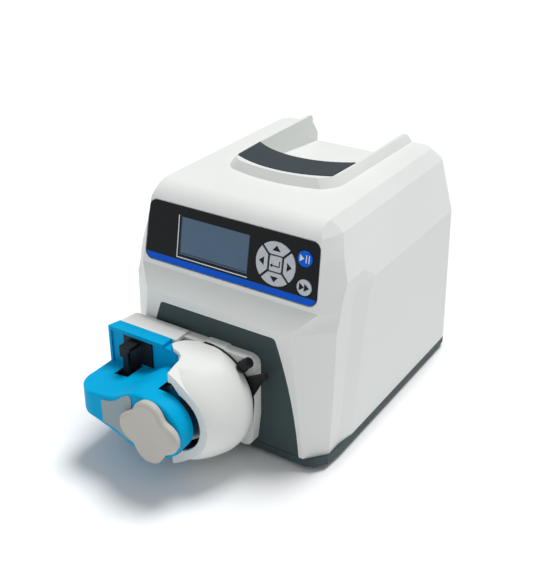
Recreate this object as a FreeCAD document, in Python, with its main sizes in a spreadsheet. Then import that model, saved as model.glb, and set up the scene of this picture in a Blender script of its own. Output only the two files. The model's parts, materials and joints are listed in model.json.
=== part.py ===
"""Bench peristaltic pump: a keypad-controlled drive with an easy-load tubing head on its front.

Frame: millimetres, +Z up, the front faces -Y, the pump axis runs along Y at x = 0.
The origin is the middle of the footprint, on the surface that the rubber feet stand on.
"""
import FreeCAD, Part
import math
import os
import re

import Sketcher

Vector = FreeCAD.Vector
Rotation = FreeCAD.Rotation
Placement = FreeCAD.Placement

SIZES = {
    # case of the drive
    "half_width": 102.5, "strip_half": 99.5, "shoulder_half": 89, "top_half": 80,
    "front_y": -83, "panel_foot_y": -67, "rear_foot_y": 173, "rear_waist_y": 162, "rear_top_y": 152,
    "shell_foot_z": 12, "ledge_low_z": 126, "ledge_top_z": 142, "panel_foot_z": 147.1,
    "waist_z": 153, "shoulder_z": 200, "top_z": 211, "rear_shoulder_z": 198,
    "panel_tilt": 10, "brow_radius": 20, "rear_corner": 14, "wall": 3, "seam": 0.35,
    "plateau_z": 218.5, "recess_half": 48.6, "recess_front_z": 200.5, "recess_rear_z": 189,
    "tray_foot_z": 5, "tray_floor": 3, "foot_radius": 9,
    # slate front panel and rear panel
    "front_panel_half": 56.3, "front_panel_top_z": 118, "front_panel_foot_z": 12.4,
    "front_panel_foot_half": 80.2, "flange_depth": 2.5,
    "rear_panel_half": 80, "rear_panel_low": 4, "rear_panel_high": 136, "rear_panel_thick": 2,
    # control panel, measured in its own tilted plane
    "overlay_foot_half": 84.2, "overlay_top_half": 81.8, "overlay_low": -0.5, "overlay_high": 51.5,
    "overlay_depth": 0.8, "overlay_proud": 0.1, "overlay_corner": 7,
    "window_left": -48.8, "window_right": 19, "window_low": 10.4, "window_high": 43,
    "ring_u": 44.5, "ring_v": 25.7, "ring_radius": 18.2, "ring_core": 7.4, "enter_half_u": 5.6,
    "enter_half_v": 6.4, "start_u": 70.1, "start_v": 36.5, "forward_u": 72, "forward_v": 13.5,
    "round_key_radius": 6.6, "key_gap": 0.4, "key_proud": 0.7, "key_depth": 3.0,
    # pump axis and its drive train
    "axis_z": 57.5, "shaft_radius": 5, "gear_module": 0.8, "gear_teeth": 54, "pinion_teeth": 18,
    "motor_radius": 24, "bearing_radius": 11, "fit_gap": 0.05,
    # pump head
    "plate_half": 44, "plate_low_z": 12.5, "plate_top_z": 99, "plate_front_y": -93,
    "head_low_z": 14, "head_top_z": 101, "body_back_y": -104,
    "recess_face_y": -114.5, "flange_front_y": -116, "nose_front_y": -165, "nose_back_y": -148.5,
    "nose_radius": 26.7, "nose_x": -3.5, "knob_x": -4, "rotor_clearance": 28.6,
    "rim_y": -147, "shell_back_y": -95.5, "bed_radius": 28, "bed_outer": 33.2, "shell_bore": 33.5,
    "roller_radius": 8, "roller_pitch": 17.5, "roller_front_y": -135.6, "roller_back_y": -112.4,
    "pin_radius": 2, "rod_radius": 3, "rod_y": -99.5, "rod_offset": 36.8,
    "knob_pinion_teeth": 12, "knob_pinion_front_y": -158, "knob_pinion_back_y": -153,
    "guide_thick": 1.5, "retainer_left": -66, "retainer_right": -55,
    "knob_mean_radius": 25.9, "knob_lobe_swing": 3.1, "knob_back_y": -166, "arm_edge": 2.5, "plate_corner": 8,
}

doc = FreeCAD.newDocument("peristaltic_pump")
sheet = doc.addObject("Spreadsheet::Sheet", "sizes")
for row, (alias, number) in enumerate(SIZES.items(), start=1):
    sheet.set(f"A{row}", alias)
    sheet.set(f"B{row}", str(number))
    sheet.setAlias(f"B{row}", alias)
doc.recompute()

PARTS = []


# ---------------------------------------------------------------- sheet and document helpers

def cells(text):
    """An expression in which every size name points at its cell of the sheet."""
    return re.sub(r"[a-z_]+", lambda word: "sizes." + word[0] if word[0] in SIZES else word[0], str(text))


def value(text):
    """The number that an expression of size names stands for."""
    return float(sheet.evalExpression(cells(text)))


def keep(item, label):
    """Names a finished sub-part and puts it on the list of pieces to export."""
    item.Label = label
    PARTS.append(item)
    return item


def box(name, x, y, z):
    """A block that fills three spans, each a (low, high) pair of expressions."""
    item = doc.addObject("Part::Box", name)
    for prop, letter, (low, high) in (("Length", "x", x), ("Width", "y", y), ("Height", "z", z)):
        item.setExpression(prop, cells(f"({high}) - ({low})"))
        item.setExpression(f"Placement.Base.{letter}", cells(low))
    return item


AXIS_TURN = {"x": Rotation(Vector(0, 1, 0), 90), "y": Rotation(Vector(1, 0, 0), -90), "z": Rotation()}


def axis_band(sign, low, high):
    """A height span above the pump axis, or its mirror image below when the sign is negative."""
    if sign > 0:
        return (f"axis_z + {low}", f"axis_z + {high}")
    return (f"axis_z - {high}", f"axis_z - {low}")


def rod(name, radius, axis, span, at):
    """A cylinder along one axis; `at` holds its two other coordinates, in x, y, z order."""
    item = doc.addObject("Part::Cylinder", name)
    item.Placement = Placement(Vector(), AXIS_TURN[axis])
    item.setExpression("Radius", cells(radius))
    item.setExpression("Height", cells(f"({span[1]}) - ({span[0]})"))
    others = [letter for letter in "xyz" if letter != axis]
    for letter, text in zip([axis] + others, [span[0]] + list(at)):
        item.setExpression(f"Placement.Base.{letter}", cells(text))
    return item


def fuse(name, *items):
    joined = doc.addObject("Part::MultiFuse", name)
    joined.Shapes = list(items)
    joined.Refine = True
    return joined


def cut(name, base, *tools):
    item = doc.addObject("Part::Cut", name)
    item.Base = base
    item.Tool = tools[0] if len(tools) == 1 else fuse(name + "_tools", *tools)
    item.Refine = True
    return item


def formed(name, shape, placement=None):
    """A piece whose form is worked out in code from the sheet's sizes."""
    item = doc.addObject("Part::Feature", name)
    item.Shape = shape
    if placement is not None:
        item.Placement = placement
    return item


# ---------------------------------------------------------------- sketched bodies

def origin_plane(owner, role):
    return next(item for item in owner.Origin.OriginFeatures if item.Role == role)


def pin_vertex(drawing, curve, end, place):
    """Ties a vertex to the sketch origin with its two expressions."""
    for kind, on_axis, text in (("DistanceX", -2, place[0]), ("DistanceY", -1, place[1])):
        number = value(text)
        if abs(number) < 1e-9:
            drawing.addConstraint(Sketcher.Constraint("PointOnObject", curve, end, on_axis))
            continue
        index = drawing.addConstraint(Sketcher.Constraint(kind, -1, 1, curve, end, number))
        drawing.setExpression(f"Constraints[{index}]", cells(text))


def draw_polygon(drawing, points):
    first = drawing.GeometryCount
    corners = [Vector(value(u), value(v), 0) for u, v in points]
    for here, there in zip(corners, corners[1:] + corners[:1]):
        drawing.addGeometry(Part.LineSegment(here, there), False)
    count = len(points)
    for step in range(count):
        line, following = first + step, first + (step + 1) % count
        drawing.addConstraint(Sketcher.Constraint("Coincident", line, 2, following, 1))
    for step, place in enumerate(points):
        pin_vertex(drawing, first + step, 1, place)


def draw_circle(drawing, u, v, radius):
    circle = Part.Circle(Vector(value(u), value(v), 0), Vector(0, 0, 1), value(radius))
    curve = drawing.addGeometry(circle, False)
    index = drawing.addConstraint(Sketcher.Constraint("Radius", curve, value(radius)))
    drawing.setExpression(f"Constraints[{index}]", cells(radius))
    pin_vertex(drawing, curve, 3, (u, v))


def sketch(owner, role, polygons=(), circles=()):
    drawing = owner.newObject("Sketcher::SketchObject", owner.Name + "_sketch")
    drawing.AttachmentSupport = [(origin_plane(owner, role), "")]
    drawing.MapMode = "FlatFace"
    for points in polygons:
        draw_polygon(drawing, points)
    for circle in circles:
        draw_circle(drawing, *circle)
    return drawing


def place_body(owner, at):
    for letter, text in zip("xyz", at):
        owner.setExpression(f"Placement.Base.{letter}", cells(text))


def padded(name, role, depth, at, polygons=(), circles=(), backwards=False):
    """A body with one pad; XY pads rise along +Z, and XZ pads run along -Y unless backwards."""
    owner = doc.addObject("PartDesign::Body", name)
    pad = owner.newObject("PartDesign::Pad", name + "_pad")
    pad.Profile = sketch(owner, role, polygons, circles)
    pad.setExpression("Length", cells(depth))
    pad.Reversed = backwards
    place_body(owner, at)
    owner.Tip = pad
    return owner


def pocket(owner, role, depth, polygons=(), circles=(), backwards=False):
    """Cuts a pocket from an origin plane and makes sure that it removed something."""
    doc.recompute()
    before = owner.Shape.Volume
    hollow = owner.newObject("PartDesign::Pocket", owner.Name + "_pocket")
    hollow.Profile = sketch(owner, role, polygons, circles)
    hollow.setExpression("Length", cells(depth))
    hollow.Reversed = backwards
    owner.Tip = hollow
    doc.recompute()
    if owner.Shape.Volume > before - 1e-3:
        raise RuntimeError(f"{owner.Name}: a pocket removed nothing")
    return hollow


def turned(name, points, at):
    """A body turned about Y; each point is (radius, distance along Y)."""
    owner = doc.addObject("PartDesign::Body", name)
    drawing = sketch(owner, "XY_Plane", polygons=[points])
    turn = owner.newObject("PartDesign::Revolution", name + "_turn")
    turn.Profile = drawing
    turn.ReferenceAxis = (drawing, ["V_Axis"])
    turn.Angle = 360
    place_body(owner, at)
    owner.Tip = turn
    return owner


def soften(owner, radius, pick):
    """Rounds the edges of a body that `pick` accepts."""
    doc.recompute()
    base = owner.Tip
    names = [f"Edge{index}" for index, edge in enumerate(base.Shape.Edges, start=1) if pick(edge)]
    rounding = owner.newObject("PartDesign::Fillet", owner.Name + "_fillet")
    rounding.Base = (base, names)
    rounding.setExpression("Radius", cells(radius))
    owner.Tip = rounding
    return rounding


def runs_along(edge, direction):
    if edge.Curve.TypeId != "Part::GeomLine":
        return False
    return edge.tangentAt(edge.FirstParameter).cross(direction).Length < 1e-6


# ---------------------------------------------------------------- plain geometry helpers

def flat(points):
    """A face in the XY plane from corner points."""
    corners = [Vector(x, y, 0) for x, y in points]
    return Part.Face(Part.makePolygon(corners + corners[:1]))


def upright(points, y_low, y_high):
    """A prism along Y whose outline is given as (x, z) points."""
    corners = [Vector(x, y_low, z) for x, z in points]
    return Part.Face(Part.makePolygon(corners + corners[:1])).extrude(Vector(0, y_high - y_low, 0))


def sideways(points, half):
    """A prism along X, symmetric about x = 0, whose outline is given as (y, z) points."""
    corners = [Vector(-half, y, z) for y, z in points]
    return Part.Face(Part.makePolygon(corners + corners[:1])).extrude(Vector(2 * half, 0, 0))


def cylinder_y(radius, y_low, y_high, x=0.0, z=0.0):
    return Part.makeCylinder(radius, y_high - y_low, Vector(x, y_low, z), Vector(0, 1, 0))


def block(x, y, z):
    return Part.makeBox(x[1] - x[0], y[1] - y[0], z[1] - z[0], Vector(x[0], y[0], z[0]))


def mirrored_x(shape):
    return shape.mirror(Vector(0, 0, 0), Vector(1, 0, 0))


def lofted(sections):
    """A ruled solid through plan outlines; each section is (z, [(x, y), ...])."""
    wires = []
    for level, points in sections:
        corners = [Vector(x, y, level) for x, y in points]
        wires.append(Part.makePolygon(corners + corners[:1]))
    return Part.makeLoft(wires, True, True)


def softened(shape, radius, pick):
    return shape.makeFillet(radius, [edge for edge in shape.Edges if pick(edge)])


# ---------------------------------------------------------------- case of the drive

def side_profile(inset):
    """Case seen from the side: toe, ledge, tilted panel, brow, top and leaning rear."""
    tilt = math.radians(value("panel_tilt"))
    top = value("top_z") - inset
    radius = value("brow_radius") - inset
    foot_y, foot_z = value("panel_foot_y") + inset, value("panel_foot_z")
    corner_y = foot_y + (top - foot_z) * math.tan(tilt)
    reach = radius * math.tan((math.pi / 2 - tilt) / 2)
    start = Vector(0, corner_y - reach * math.sin(tilt), top - reach * math.cos(tilt))
    end = Vector(0, corner_y + reach, top)
    centre = Vector(0, end.y, top - radius)
    middle_angle = math.radians(90 + (90 - value("panel_tilt")) / 2)
    middle = centre + Vector(0, radius * math.cos(middle_angle), radius * math.sin(middle_angle))
    lean = value("rear_foot_y - rear_waist_y") / value("waist_z - shell_foot_z")
    base = 0 if inset else value("shell_foot_z")
    rear_foot = value("rear_foot_y") - inset + lean * (value("shell_foot_z") - base)
    front = value("front_y") + inset
    toe = [Vector(0, front, base), Vector(0, front, value("ledge_low_z") - inset / 2),
           Vector(0, foot_y - 1, value("ledge_top_z") - inset / 2), Vector(0, foot_y, foot_z), start]
    rear = [end, Vector(0, value("rear_top_y") - inset / 2, top),
            Vector(0, value("rear_waist_y") - inset, value("rear_shoulder_z")),
            Vector(0, value("rear_waist_y") - inset, value("waist_z")),
            Vector(0, rear_foot, base), toe[0]]
    edges = [Part.makeLine(a, b) for a, b in zip(toe, toe[1:])]
    edges.append(Part.Arc(start, middle, end).toShape())
    edges += [Part.makeLine(a, b) for a, b in zip(rear, rear[1:])]
    face = Part.Face(Part.Wire(edges))
    half = value("half_width") + 5
    return face.translated(Vector(-half, 0, 0)).extrude(Vector(2 * half, 0, 0))


def front_profile(inset):
    """Case seen from the front: plumb sides, leaning upper sides and shoulder chamfers."""
    half = value("half_width") - inset
    shoulder = (value("shoulder_half") - inset, value("shoulder_z"))
    top = (value("top_half") - inset / 2, value("top_z") - inset)
    right = [(half, 0.0), (half, value("waist_z")), shoulder, top]
    left = [(-x, z) for x, z in reversed(right)]
    return upright(right + left, value("front_y") - 5, value("rear_foot_y") + 5)


def corner_tool(inset):
    """What the slanted front corner takes off the right side, from the toe up to the brow."""
    front, strip = value("front_y"), value("strip_half")
    foot_y = value("panel_foot_y")
    lines = [  # level, front edge of the corner face (x, y), side edge of the corner face (x, y)
        (value("shell_foot_z") - 6, (85.6, front), (strip, foot_y + 1)),
        (value("ledge_low_z"), (70.6, front), (strip, foot_y + 7)),
        (value("ledge_top_z"), (87, foot_y - 1), (strip, foot_y + 12)),
        (value("waist_z"), (85.6, foot_y + 1), (strip, foot_y + 16)),
        (182, (83.4, foot_y + 6.2), (94, foot_y + 24)),
        (value("shoulder_z"), (82, foot_y + 11.4), (value("shoulder_half"), foot_y + 31)),
        (value("top_z") + 1, (79.3, foot_y + 24), (80.6, foot_y + 29)),
    ]
    sections = []
    for level, near, far in lines:
        run = (far[0] - near[0], far[1] - near[1])
        length = math.hypot(*run)
        along = (run[0] / length, run[1] / length)
        inner = (near[0] - inset - 4 * along[0], near[1] + inset - 4 * along[1])
        outer = (inner[0] + 60 * along[0], inner[1] + 60 * along[1])
        sections.append((level, [inner, outer, (outer[0] + 5, front - 15), (inner[0], front - 15)]))
    return lofted(sections)


def inset_tool(inset):
    """The flat strip behind the front corner and the ramp that leads out to the full width."""
    strip, half, foot_y = value("strip_half") - inset, value("half_width") - inset, value("panel_foot_y")
    sections = []
    steps = ((0, 16, 35), (72, 23, 44), (138, 31, 54), (value("waist_z"), 37, 62), (166, 50, 88))
    for level, strip_end, ramp_end in steps:
        slope = (ramp_end - strip_end) / (half - strip)
        outer = (half + 2, foot_y + strip_end + slope * (half + 2 - strip))
        sections.append((level, [(strip, -130), (strip, foot_y + strip_end), outer, (outer[0], -130)]))
    return lofted(sections)


def rear_corner_tool(inset):
    """What the rounded rear corner takes off the right side."""
    radius = value("rear_corner")
    levels = ((-2, value("half_width"), value("rear_foot_y") + 1.1),
              (value("waist_z"), value("half_width"), value("rear_waist_y")),
              (value("shoulder_z"), value("shoulder_half"), value("rear_waist_y")),
              (value("top_z") + 1, value("top_half") - 1, value("rear_waist_y") - 9))
    wires = []
    for level, half, rear in levels:
        x, y = half - inset, rear - inset
        a, b = Vector(x - radius, y, level), Vector(x, y - radius, level)
        bend = radius * (1 - math.sqrt(0.5))
        arc = Part.Arc(a, Vector(x - bend, y - bend, level), b).toShape()
        c, d = Vector(x + 25, y - radius, level), Vector(x + 25, y + 25, level)
        e = Vector(x - radius, y + 25, level)
        wires.append(Part.Wire([arc, Part.makeLine(b, c), Part.makeLine(c, d), Part.makeLine(d, e),
                                Part.makeLine(e, a)]))
    return Part.makeLoft(wires, True, True)


def case_form(inset):
    """The case without its raised grip, moved inwards by `inset` on every side."""
    form = side_profile(inset).common(front_profile(inset))
    for tool in (corner_tool(inset), inset_tool(inset), rear_corner_tool(inset)):
        form = form.cut(tool).cut(mirrored_x(tool))
    return form


def arc_edge(a, b, c, level):
    return Part.Arc(*(Vector(x, y, level) for x, y in (a, b, c))).toShape()


def line_edge(a, b, level):
    return Part.makeLine(Vector(a[0], a[1], level), Vector(b[0], b[1], level))


def plateau_wire(shrink, level):
    """Outline of the raised grip: a bow across the front and two long ridges to the rear."""
    side, bend, front, rear = 58 - shrink, 15 + shrink * 0.7, -1.5 + shrink, 185
    corner_a, corner_b = (side - 2.5, 30 + shrink * 0.3), (side - 14, bend - 9)
    middle = (side - 5.6, bend + 0.4)
    bow = (0, front)
    return Part.Wire([
        line_edge((side, rear), corner_a, level), arc_edge(corner_a, middle, corner_b, level),
        arc_edge(corner_b, bow, (-corner_b[0], corner_b[1]), level),
        arc_edge((-corner_b[0], corner_b[1]), (-middle[0], middle[1]), (-corner_a[0], corner_a[1]), level),
        line_edge((-corner_a[0], corner_a[1]), (-side, rear), level),
        line_edge((-side, rear), (side, rear), level)])


def plateau():
    """Raised grip with sloping flanks; its rear end is cut steeply, with the top corner rounded off."""
    outlines = [plateau_wire(0, value("top_z") - 0.5), plateau_wire(5.5, value("plateau_z"))]
    form = Part.makeLoft(outlines, True, True)
    high, shoulder = value("plateau_z") + 2, value("rear_waist_y")
    end = [(shoulder, value("rear_shoulder_z")), (value("rear_top_y"), value("top_z")), (151.4, 215),
           (150.2, 217.2), (148, high - 1.6), (147, high), (200, high), (200, value("rear_shoulder_z"))]
    return form.cut(sideways(end, 70))


def recess_tool(grow):
    """Hand recess behind the grip inlay: an arc in front, straight sides, a floor that falls to the rear."""
    half = value("recess_half") + grow
    front = [(-half, 58 - grow), (0, 42 - grow), (half, 58 - grow)]
    wire = Part.Wire([arc_edge(*front, 150), line_edge(front[2], (half, 200), 150),
                      line_edge((half, 200), (-half, 200), 150), line_edge((-half, 200), front[0], 150)])
    plan = Part.Face(wire).extrude(Vector(0, 0, 90))
    low, high = value("recess_rear_z") - grow, value("recess_front_z") - grow
    above = sideways([(30, high + 1), (167, low), (200, low - 3), (200, 240), (30, 240)], 80)
    return plan.common(above)


def crescent(grow, low, high):
    """Grip inlay: a crescent between two arcs, with `grow` added all round."""
    outer = [(-47 - grow, 20 - grow), (0, 8 - grow), (47 + grow, 20 - grow)]
    inner = [(-48.6 - grow, 58), (0, 42 + grow * 0.3), (48.6 + grow, 58)]
    wire = Part.Wire([arc_edge(*outer, low), line_edge(outer[2], inner[2], low),
                      arc_edge(*reversed(inner), low), line_edge(inner[0], outer[0], low)])
    solid = Part.Face(wire).extrude(Vector(0, 0, high - low))
    return softened(solid, 3 + grow,
                    lambda edge: runs_along(edge, Vector(0, 0, 1)) and edge.CenterOfMass.y < 30)


PANEL_FRAME = Placement(Vector(0, value("panel_foot_y"), value("panel_foot_z")),
                        Rotation(Vector(1, 0, 0), 90 - value("panel_tilt")))
REAR_LEAN = math.degrees(math.atan2(value("rear_foot_y - rear_waist_y"), value("waist_z - shell_foot_z")))
REAR_FRAME = Placement(Vector(0, value("rear_foot_y"), value("shell_foot_z")),
                       Rotation(Vector(1, 0, 0), REAR_LEAN))


def framed(shape, frame):
    copy = shape.copy()
    copy.Placement = frame.multiply(copy.Placement)
    return copy


def front_panel_outline(grow, y_low, y_high):
    """Slate panel: straight top, rounded top corners, sides that bow out to the foot."""
    half, top = value("front_panel_half") + grow, value("front_panel_top_z") + grow
    foot_half, foot = value("front_panel_foot_half") + grow, value("front_panel_foot_z")
    bow = (71.5 + grow, 67.5)
    right = [Vector(half, y_low, top), Vector(bow[0], y_low, bow[1]), Vector(foot_half, y_low, foot)]
    left = [Vector(-corner.x, y_low, corner.z) for corner in reversed(right)]
    wire = Part.Wire([Part.Arc(*right).toShape(), Part.makeLine(right[2], left[0]),
                      Part.Arc(*left).toShape(), Part.makeLine(left[2], right[0])])
    solid = Part.Face(wire).extrude(Vector(0, y_high - y_low, 0))
    return softened(solid, 4 + grow,
                    lambda edge: runs_along(edge, Vector(0, 1, 0)) and edge.CenterOfMass.z > 60)


def overlay_form(grow, low, high):
    """Control panel membrane in its own plane, with rounded corners."""
    foot, top = value("overlay_foot_half") + grow, value("overlay_top_half") + grow
    v_low, v_high = value("overlay_low") - grow, value("overlay_high") + grow
    solid = flat([(-foot, v_low), (foot, v_low), (top, v_high), (-top, v_high)])
    solid = solid.translated(Vector(0, 0, low)).extrude(Vector(0, 0, high - low))
    return softened(solid, value("overlay_corner") + grow, lambda edge: runs_along(edge, Vector(0, 0, 1)))


def window_block(grow, low, high):
    return block((value("window_left") - grow, value("window_right") + grow),
                 (value("window_low") - grow, value("window_high") + grow), (low, high))


def key_forms(grow, low, high):
    """The seven key caps in the panel plane: name to solid, each grown by `grow` all round."""
    ring = Vector(value("ring_u"), value("ring_v"), low)
    radius, core, slot = value("ring_radius") + grow, value("ring_core") - grow, 0.9 - grow
    depth = high - low
    disc = Part.makeCylinder(radius, depth, ring)
    middle = block((ring.x - core, ring.x + core), (ring.y - core, ring.y + core), (low - 1, high + 1))
    forms = {}
    for name, turn in (("key_right", 0), ("key_up", 90), ("key_left", 180), ("key_down", 270)):
        reach = 40
        wedge = flat([(slot * math.sqrt(2), 0), (reach, reach - slot * math.sqrt(2)),
                      (reach, slot * math.sqrt(2) - reach)])
        wedge = wedge.extrude(Vector(0, 0, depth))
        wedge.Placement = Placement(ring, Rotation(Vector(0, 0, 1), turn))
        forms[name] = disc.common(wedge).cut(middle).Solids[0]
    half_u, half_v = value("enter_half_u") + grow, value("enter_half_v") + grow
    enter = block((ring.x - half_u, ring.x + half_u), (ring.y - half_v, ring.y + half_v), (low, high))
    forms["key_enter"] = softened(enter, 1.2, lambda edge: runs_along(edge, Vector(0, 0, 1))).Solids[0]
    for name, u, v in (("key_start_stop", "start_u", "start_v"),
                       ("key_fast_forward", "forward_u", "forward_v")):
        centre = Vector(value(u), value(v), low)
        forms[name] = Part.makeCylinder(value("round_key_radius") + grow, depth, centre)
    return forms


def make_housing_shell():
    outer = case_form(0).fuse(plateau()).removeSplitter()
    inner = case_form(value("wall")).cut(recess_tool(value("wall")))
    shell = outer.cut(inner).cut(recess_tool(0))
    seat = crescent(0.2, value("plateau_z") - 1, value("plateau_z") + 2)
    shell = shell.cut(seat).cut(seat.translated(Vector(0, 1.5, 0)))
    shell = shell.cut(front_panel_outline(value("seam"), value("front_y") - 1, value("front_y + wall") + 1))
    foot = block((-value("front_panel_foot_half") - 0.5, value("front_panel_foot_half") + 0.5),
                 (value("front_y") - 1, value("front_y + wall") + 1), (8, value("front_panel_foot_z") + 1))
    shell = shell.cut(foot)
    rear = block((-value("rear_panel_half"), value("rear_panel_half")), (-12, 8),
                 (value("rear_panel_low"), value("rear_panel_high")))
    shell = shell.cut(framed(rear, REAR_FRAME))
    depth = value("overlay_depth")
    wells = [overlay_form(0.8, -depth, 2), window_block(0.0, -8, 1)]
    wells += list(key_forms(value("key_gap"), -8, 1).values())
    for well in wells:
        shell = shell.cut(framed(well, PANEL_FRAME))
    keep(formed("housing_shell", shell), "housing_shell")


def make_base_tray():
    """Slate tray that closes the case from below and shows as a dark band round its foot."""
    right = [("front_panel_foot_half + 6", "front_y"), ("strip_half - 5", "front_y + 3.5"),
             ("strip_half + 1.5", "front_y + 13"), ("half_width", "front_y + 33"),
             ("half_width", "rear_foot_y")]
    left = [(f"0 - ({x})", y) for x, y in reversed(right)]
    tray = padded("base_tray", "XY_Plane", "shell_foot_z - tray_foot_z", ("0", "0", "tray_foot_z"),
                  polygons=[right + left])
    soften(tray, "rear_corner", lambda edge: runs_along(edge, Vector(0, 0, 1)) and edge.CenterOfMass.y > 100)
    hollow = [("half_width - 3.5", "front_y + 36"), ("half_width - 3.5", "rear_foot_y - 17"),
              ("half_width - 17", "rear_foot_y - 3.5")]
    hollow += [(f"0 - ({x})", y) for x, y in reversed(hollow)]
    hollow += [("0 - (front_panel_foot_half)", "front_y + 4"), ("front_panel_foot_half", "front_y + 4")]
    well = pocket(tray, "XY_Plane", "10", polygons=[hollow], backwards=True)
    well.Profile[0].AttachmentOffset = Placement(Vector(0, 0, value("tray_floor")), Rotation())
    screws = [(x, y, "1.5") for x in ("0 - 80", "80") for y in ("0 - 45", "145")]
    pocket(tray, "XY_Plane", "10", circles=screws, backwards=True)
    keep(tray, "base_tray")


def make_rubber_feet():
    places = [(x, y) for x in ("0 - 80", "80") for y in ("0 - 45", "145")]
    feet = [rod(f"foot_{index}", "foot_radius", "z", ("0", "tray_foot_z"), place)
            for index, place in enumerate(places)]
    wells = []
    for name, radius, span in (("well", "3.4", ("0 - 1", "2")), ("seat", "3", ("1", "4.2")),
                               ("bore", "1.5", ("4", "6"))):
        wells += [rod(f"foot_{name}_{index}", radius, "z", span, place) for index, place in enumerate(places)]
    keep(cut("rubber_feet", fuse("rubber_feet_blank", *feet), *wells), "rubber_feet")


def make_case_screws():
    """Screws that pass up through the feet into the tray."""
    places = [(x, y) for x in ("0 - 80", "80") for y in ("0 - 45", "145")]
    pieces = []
    for index, place in enumerate(places):
        pieces.append(rod(f"case_screw_head_{index}", "3", "z", ("2", "4.2"), place))
        pieces.append(rod(f"case_screw_shank_{index}", "1.5", "z", ("4.2", "12"), place))
    keep(fuse("case_screws", *pieces), "case_screws")


def make_front_panel():
    front, wall = value("front_y"), value("wall")
    back = front + wall + 0.15
    panel = front_panel_outline(0, front, back)
    flange = front_panel_outline(1.6, back, front + wall + value("flange_depth"))
    panel = panel.fuse(flange)
    holes = [cylinder_y(12.2, front - 1, front + 8, z=value("axis_z"))]
    holes += [cylinder_y(2.1, front - 1, front + 8, x, value("axis_z") + z)
              for x in (-24, 24) for z in (-24, 24)]
    for hole in holes:
        panel = panel.cut(hole)
    keep(formed("front_panel", panel.removeSplitter()), "front_panel")


def make_top_grip_pad():
    level = value("plateau_z")
    keep(formed("top_grip_pad", crescent(0, level - 1, level + 0.6)), "top_grip_pad")


# ---------------------------------------------------------------- control panel

def make_keypad_overlay():
    overlay = overlay_form(0, -value("overlay_depth"), value("overlay_proud")).cut(window_block(0, -2, 2))
    for cap in key_forms(value("key_gap"), -2, 2).values():
        overlay = overlay.cut(cap)
    keep(formed("keypad_overlay", overlay, PANEL_FRAME), "keypad_overlay")


def make_keys():
    for name, cap in key_forms(0, -value("key_depth"), value("key_proud")).items():
        keep(formed(name, cap, PANEL_FRAME), name)


def make_display():
    window = window_block(-0.15, -value("overlay_depth"), value("overlay_proud"))
    keep(formed("display_window", window, PANEL_FRAME), "display_window")
    glass = window_block(-0.4, -4, -value("overlay_depth"))
    frame = block((value("window_left") - 3, value("window_right") + 3), (4, 49), (-11, -4))
    keep(formed("display_module", glass.fuse(frame).removeSplitter(), PANEL_FRAME), "display_module")


def make_keypad_board():
    """Circuit board behind the keys, with a rubber dome under each cap."""
    board = block((24, 78), (3, 46), (-6, -4.4))
    domes = [Part.makeCylinder(2.2, 0.7, Vector(cap.CenterOfMass.x, cap.CenterOfMass.y, -4.4))
             for cap in key_forms(0, -1, 0).values()]
    keep(formed("keypad_board", board.multiFuse(domes), PANEL_FRAME), "keypad_board")


# ---------------------------------------------------------------- rear of the drive

REAR_SCREWS = [(x, z) for x in (-76, 76) for z in (12, 70, 128)]


def make_rear_panel():
    play, thick = 0.3, value("rear_panel_thick")
    half = value("rear_panel_half") - play
    low, high = value("rear_panel_low") + play, value("rear_panel_high") - play
    back = -value("wall") - 0.1
    panel = block((-half, half), (back, back + thick), (low, high))
    flange = block((-half - 4, half + 4), (back - 1.5, back), (low + 3, high + 4))
    panel = panel.fuse(flange)
    openings = [block((-70, -20), (-9, 3), (14, 42)), block((-8.2, 13.2), (-9, 3), (17, 45)),
                block((28, 66), (-9, 3), (18, 36))]
    slots = [block((-57, -3), (-9, 3), (z, z + 4)) for z in range(72, 126, 8)]
    slots += [block((20, 74), (-9, 3), (z, z + 4)) for z in range(72, 126, 8)]
    screws = [cylinder_y(1.6, -9, 3, x, z) for x, z in REAR_SCREWS]
    for tool in openings + slots + screws:
        panel = panel.cut(tool)
    keep(formed("rear_panel", panel.removeSplitter(), REAR_FRAME), "rear_panel")


def make_rear_screws():
    screws = []
    for x, z in REAR_SCREWS:
        head = cylinder_y(2.8, -1, 0.6, x, z)
        screws.append(head.fuse(cylinder_y(1.5, -9, -1, x, z)).removeSplitter())
    keep(formed("rear_panel_screws", Part.makeCompound(screws), REAR_FRAME), "rear_panel_screws")


def make_power_inlet():
    """Flush appliance inlet with three flat pins, and a bay above it for the fuse drawer."""
    body = block((-69.8, -20.2), (-22, -1), (14.2, 41.8)).fuse(block((-73, -17), (-1, 0.8), (11, 45)))
    socket = softened(block((-66, -44), (-17, 2), (19, 37)), 3, lambda e: runs_along(e, Vector(0, 1, 0)))
    bay = block((-38, -24), (-18, 2), (18, 38))
    body = body.cut(socket).cut(bay)
    pins = [block((x - 1, x + 1), (-17.5, -5), (z - 2, z + 2)) for x, z in ((-61, 28), (-55, 30), (-49, 28))]
    keep(formed("power_inlet", body.multiFuse(pins).removeSplitter(), REAR_FRAME), "power_inlet")
    drawer = block((-37.8, -24.2), (-14, 0.8), (18.2, 37.8)).cut(block((-36, -26), (-12, -3), (20.5, 42)))
    lip = block((-34, -28), (0.8, 1.8), (26, 30))
    keep(formed("fuse_drawer", drawer.fuse(lip).removeSplitter(), REAR_FRAME), "fuse_drawer")


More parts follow.
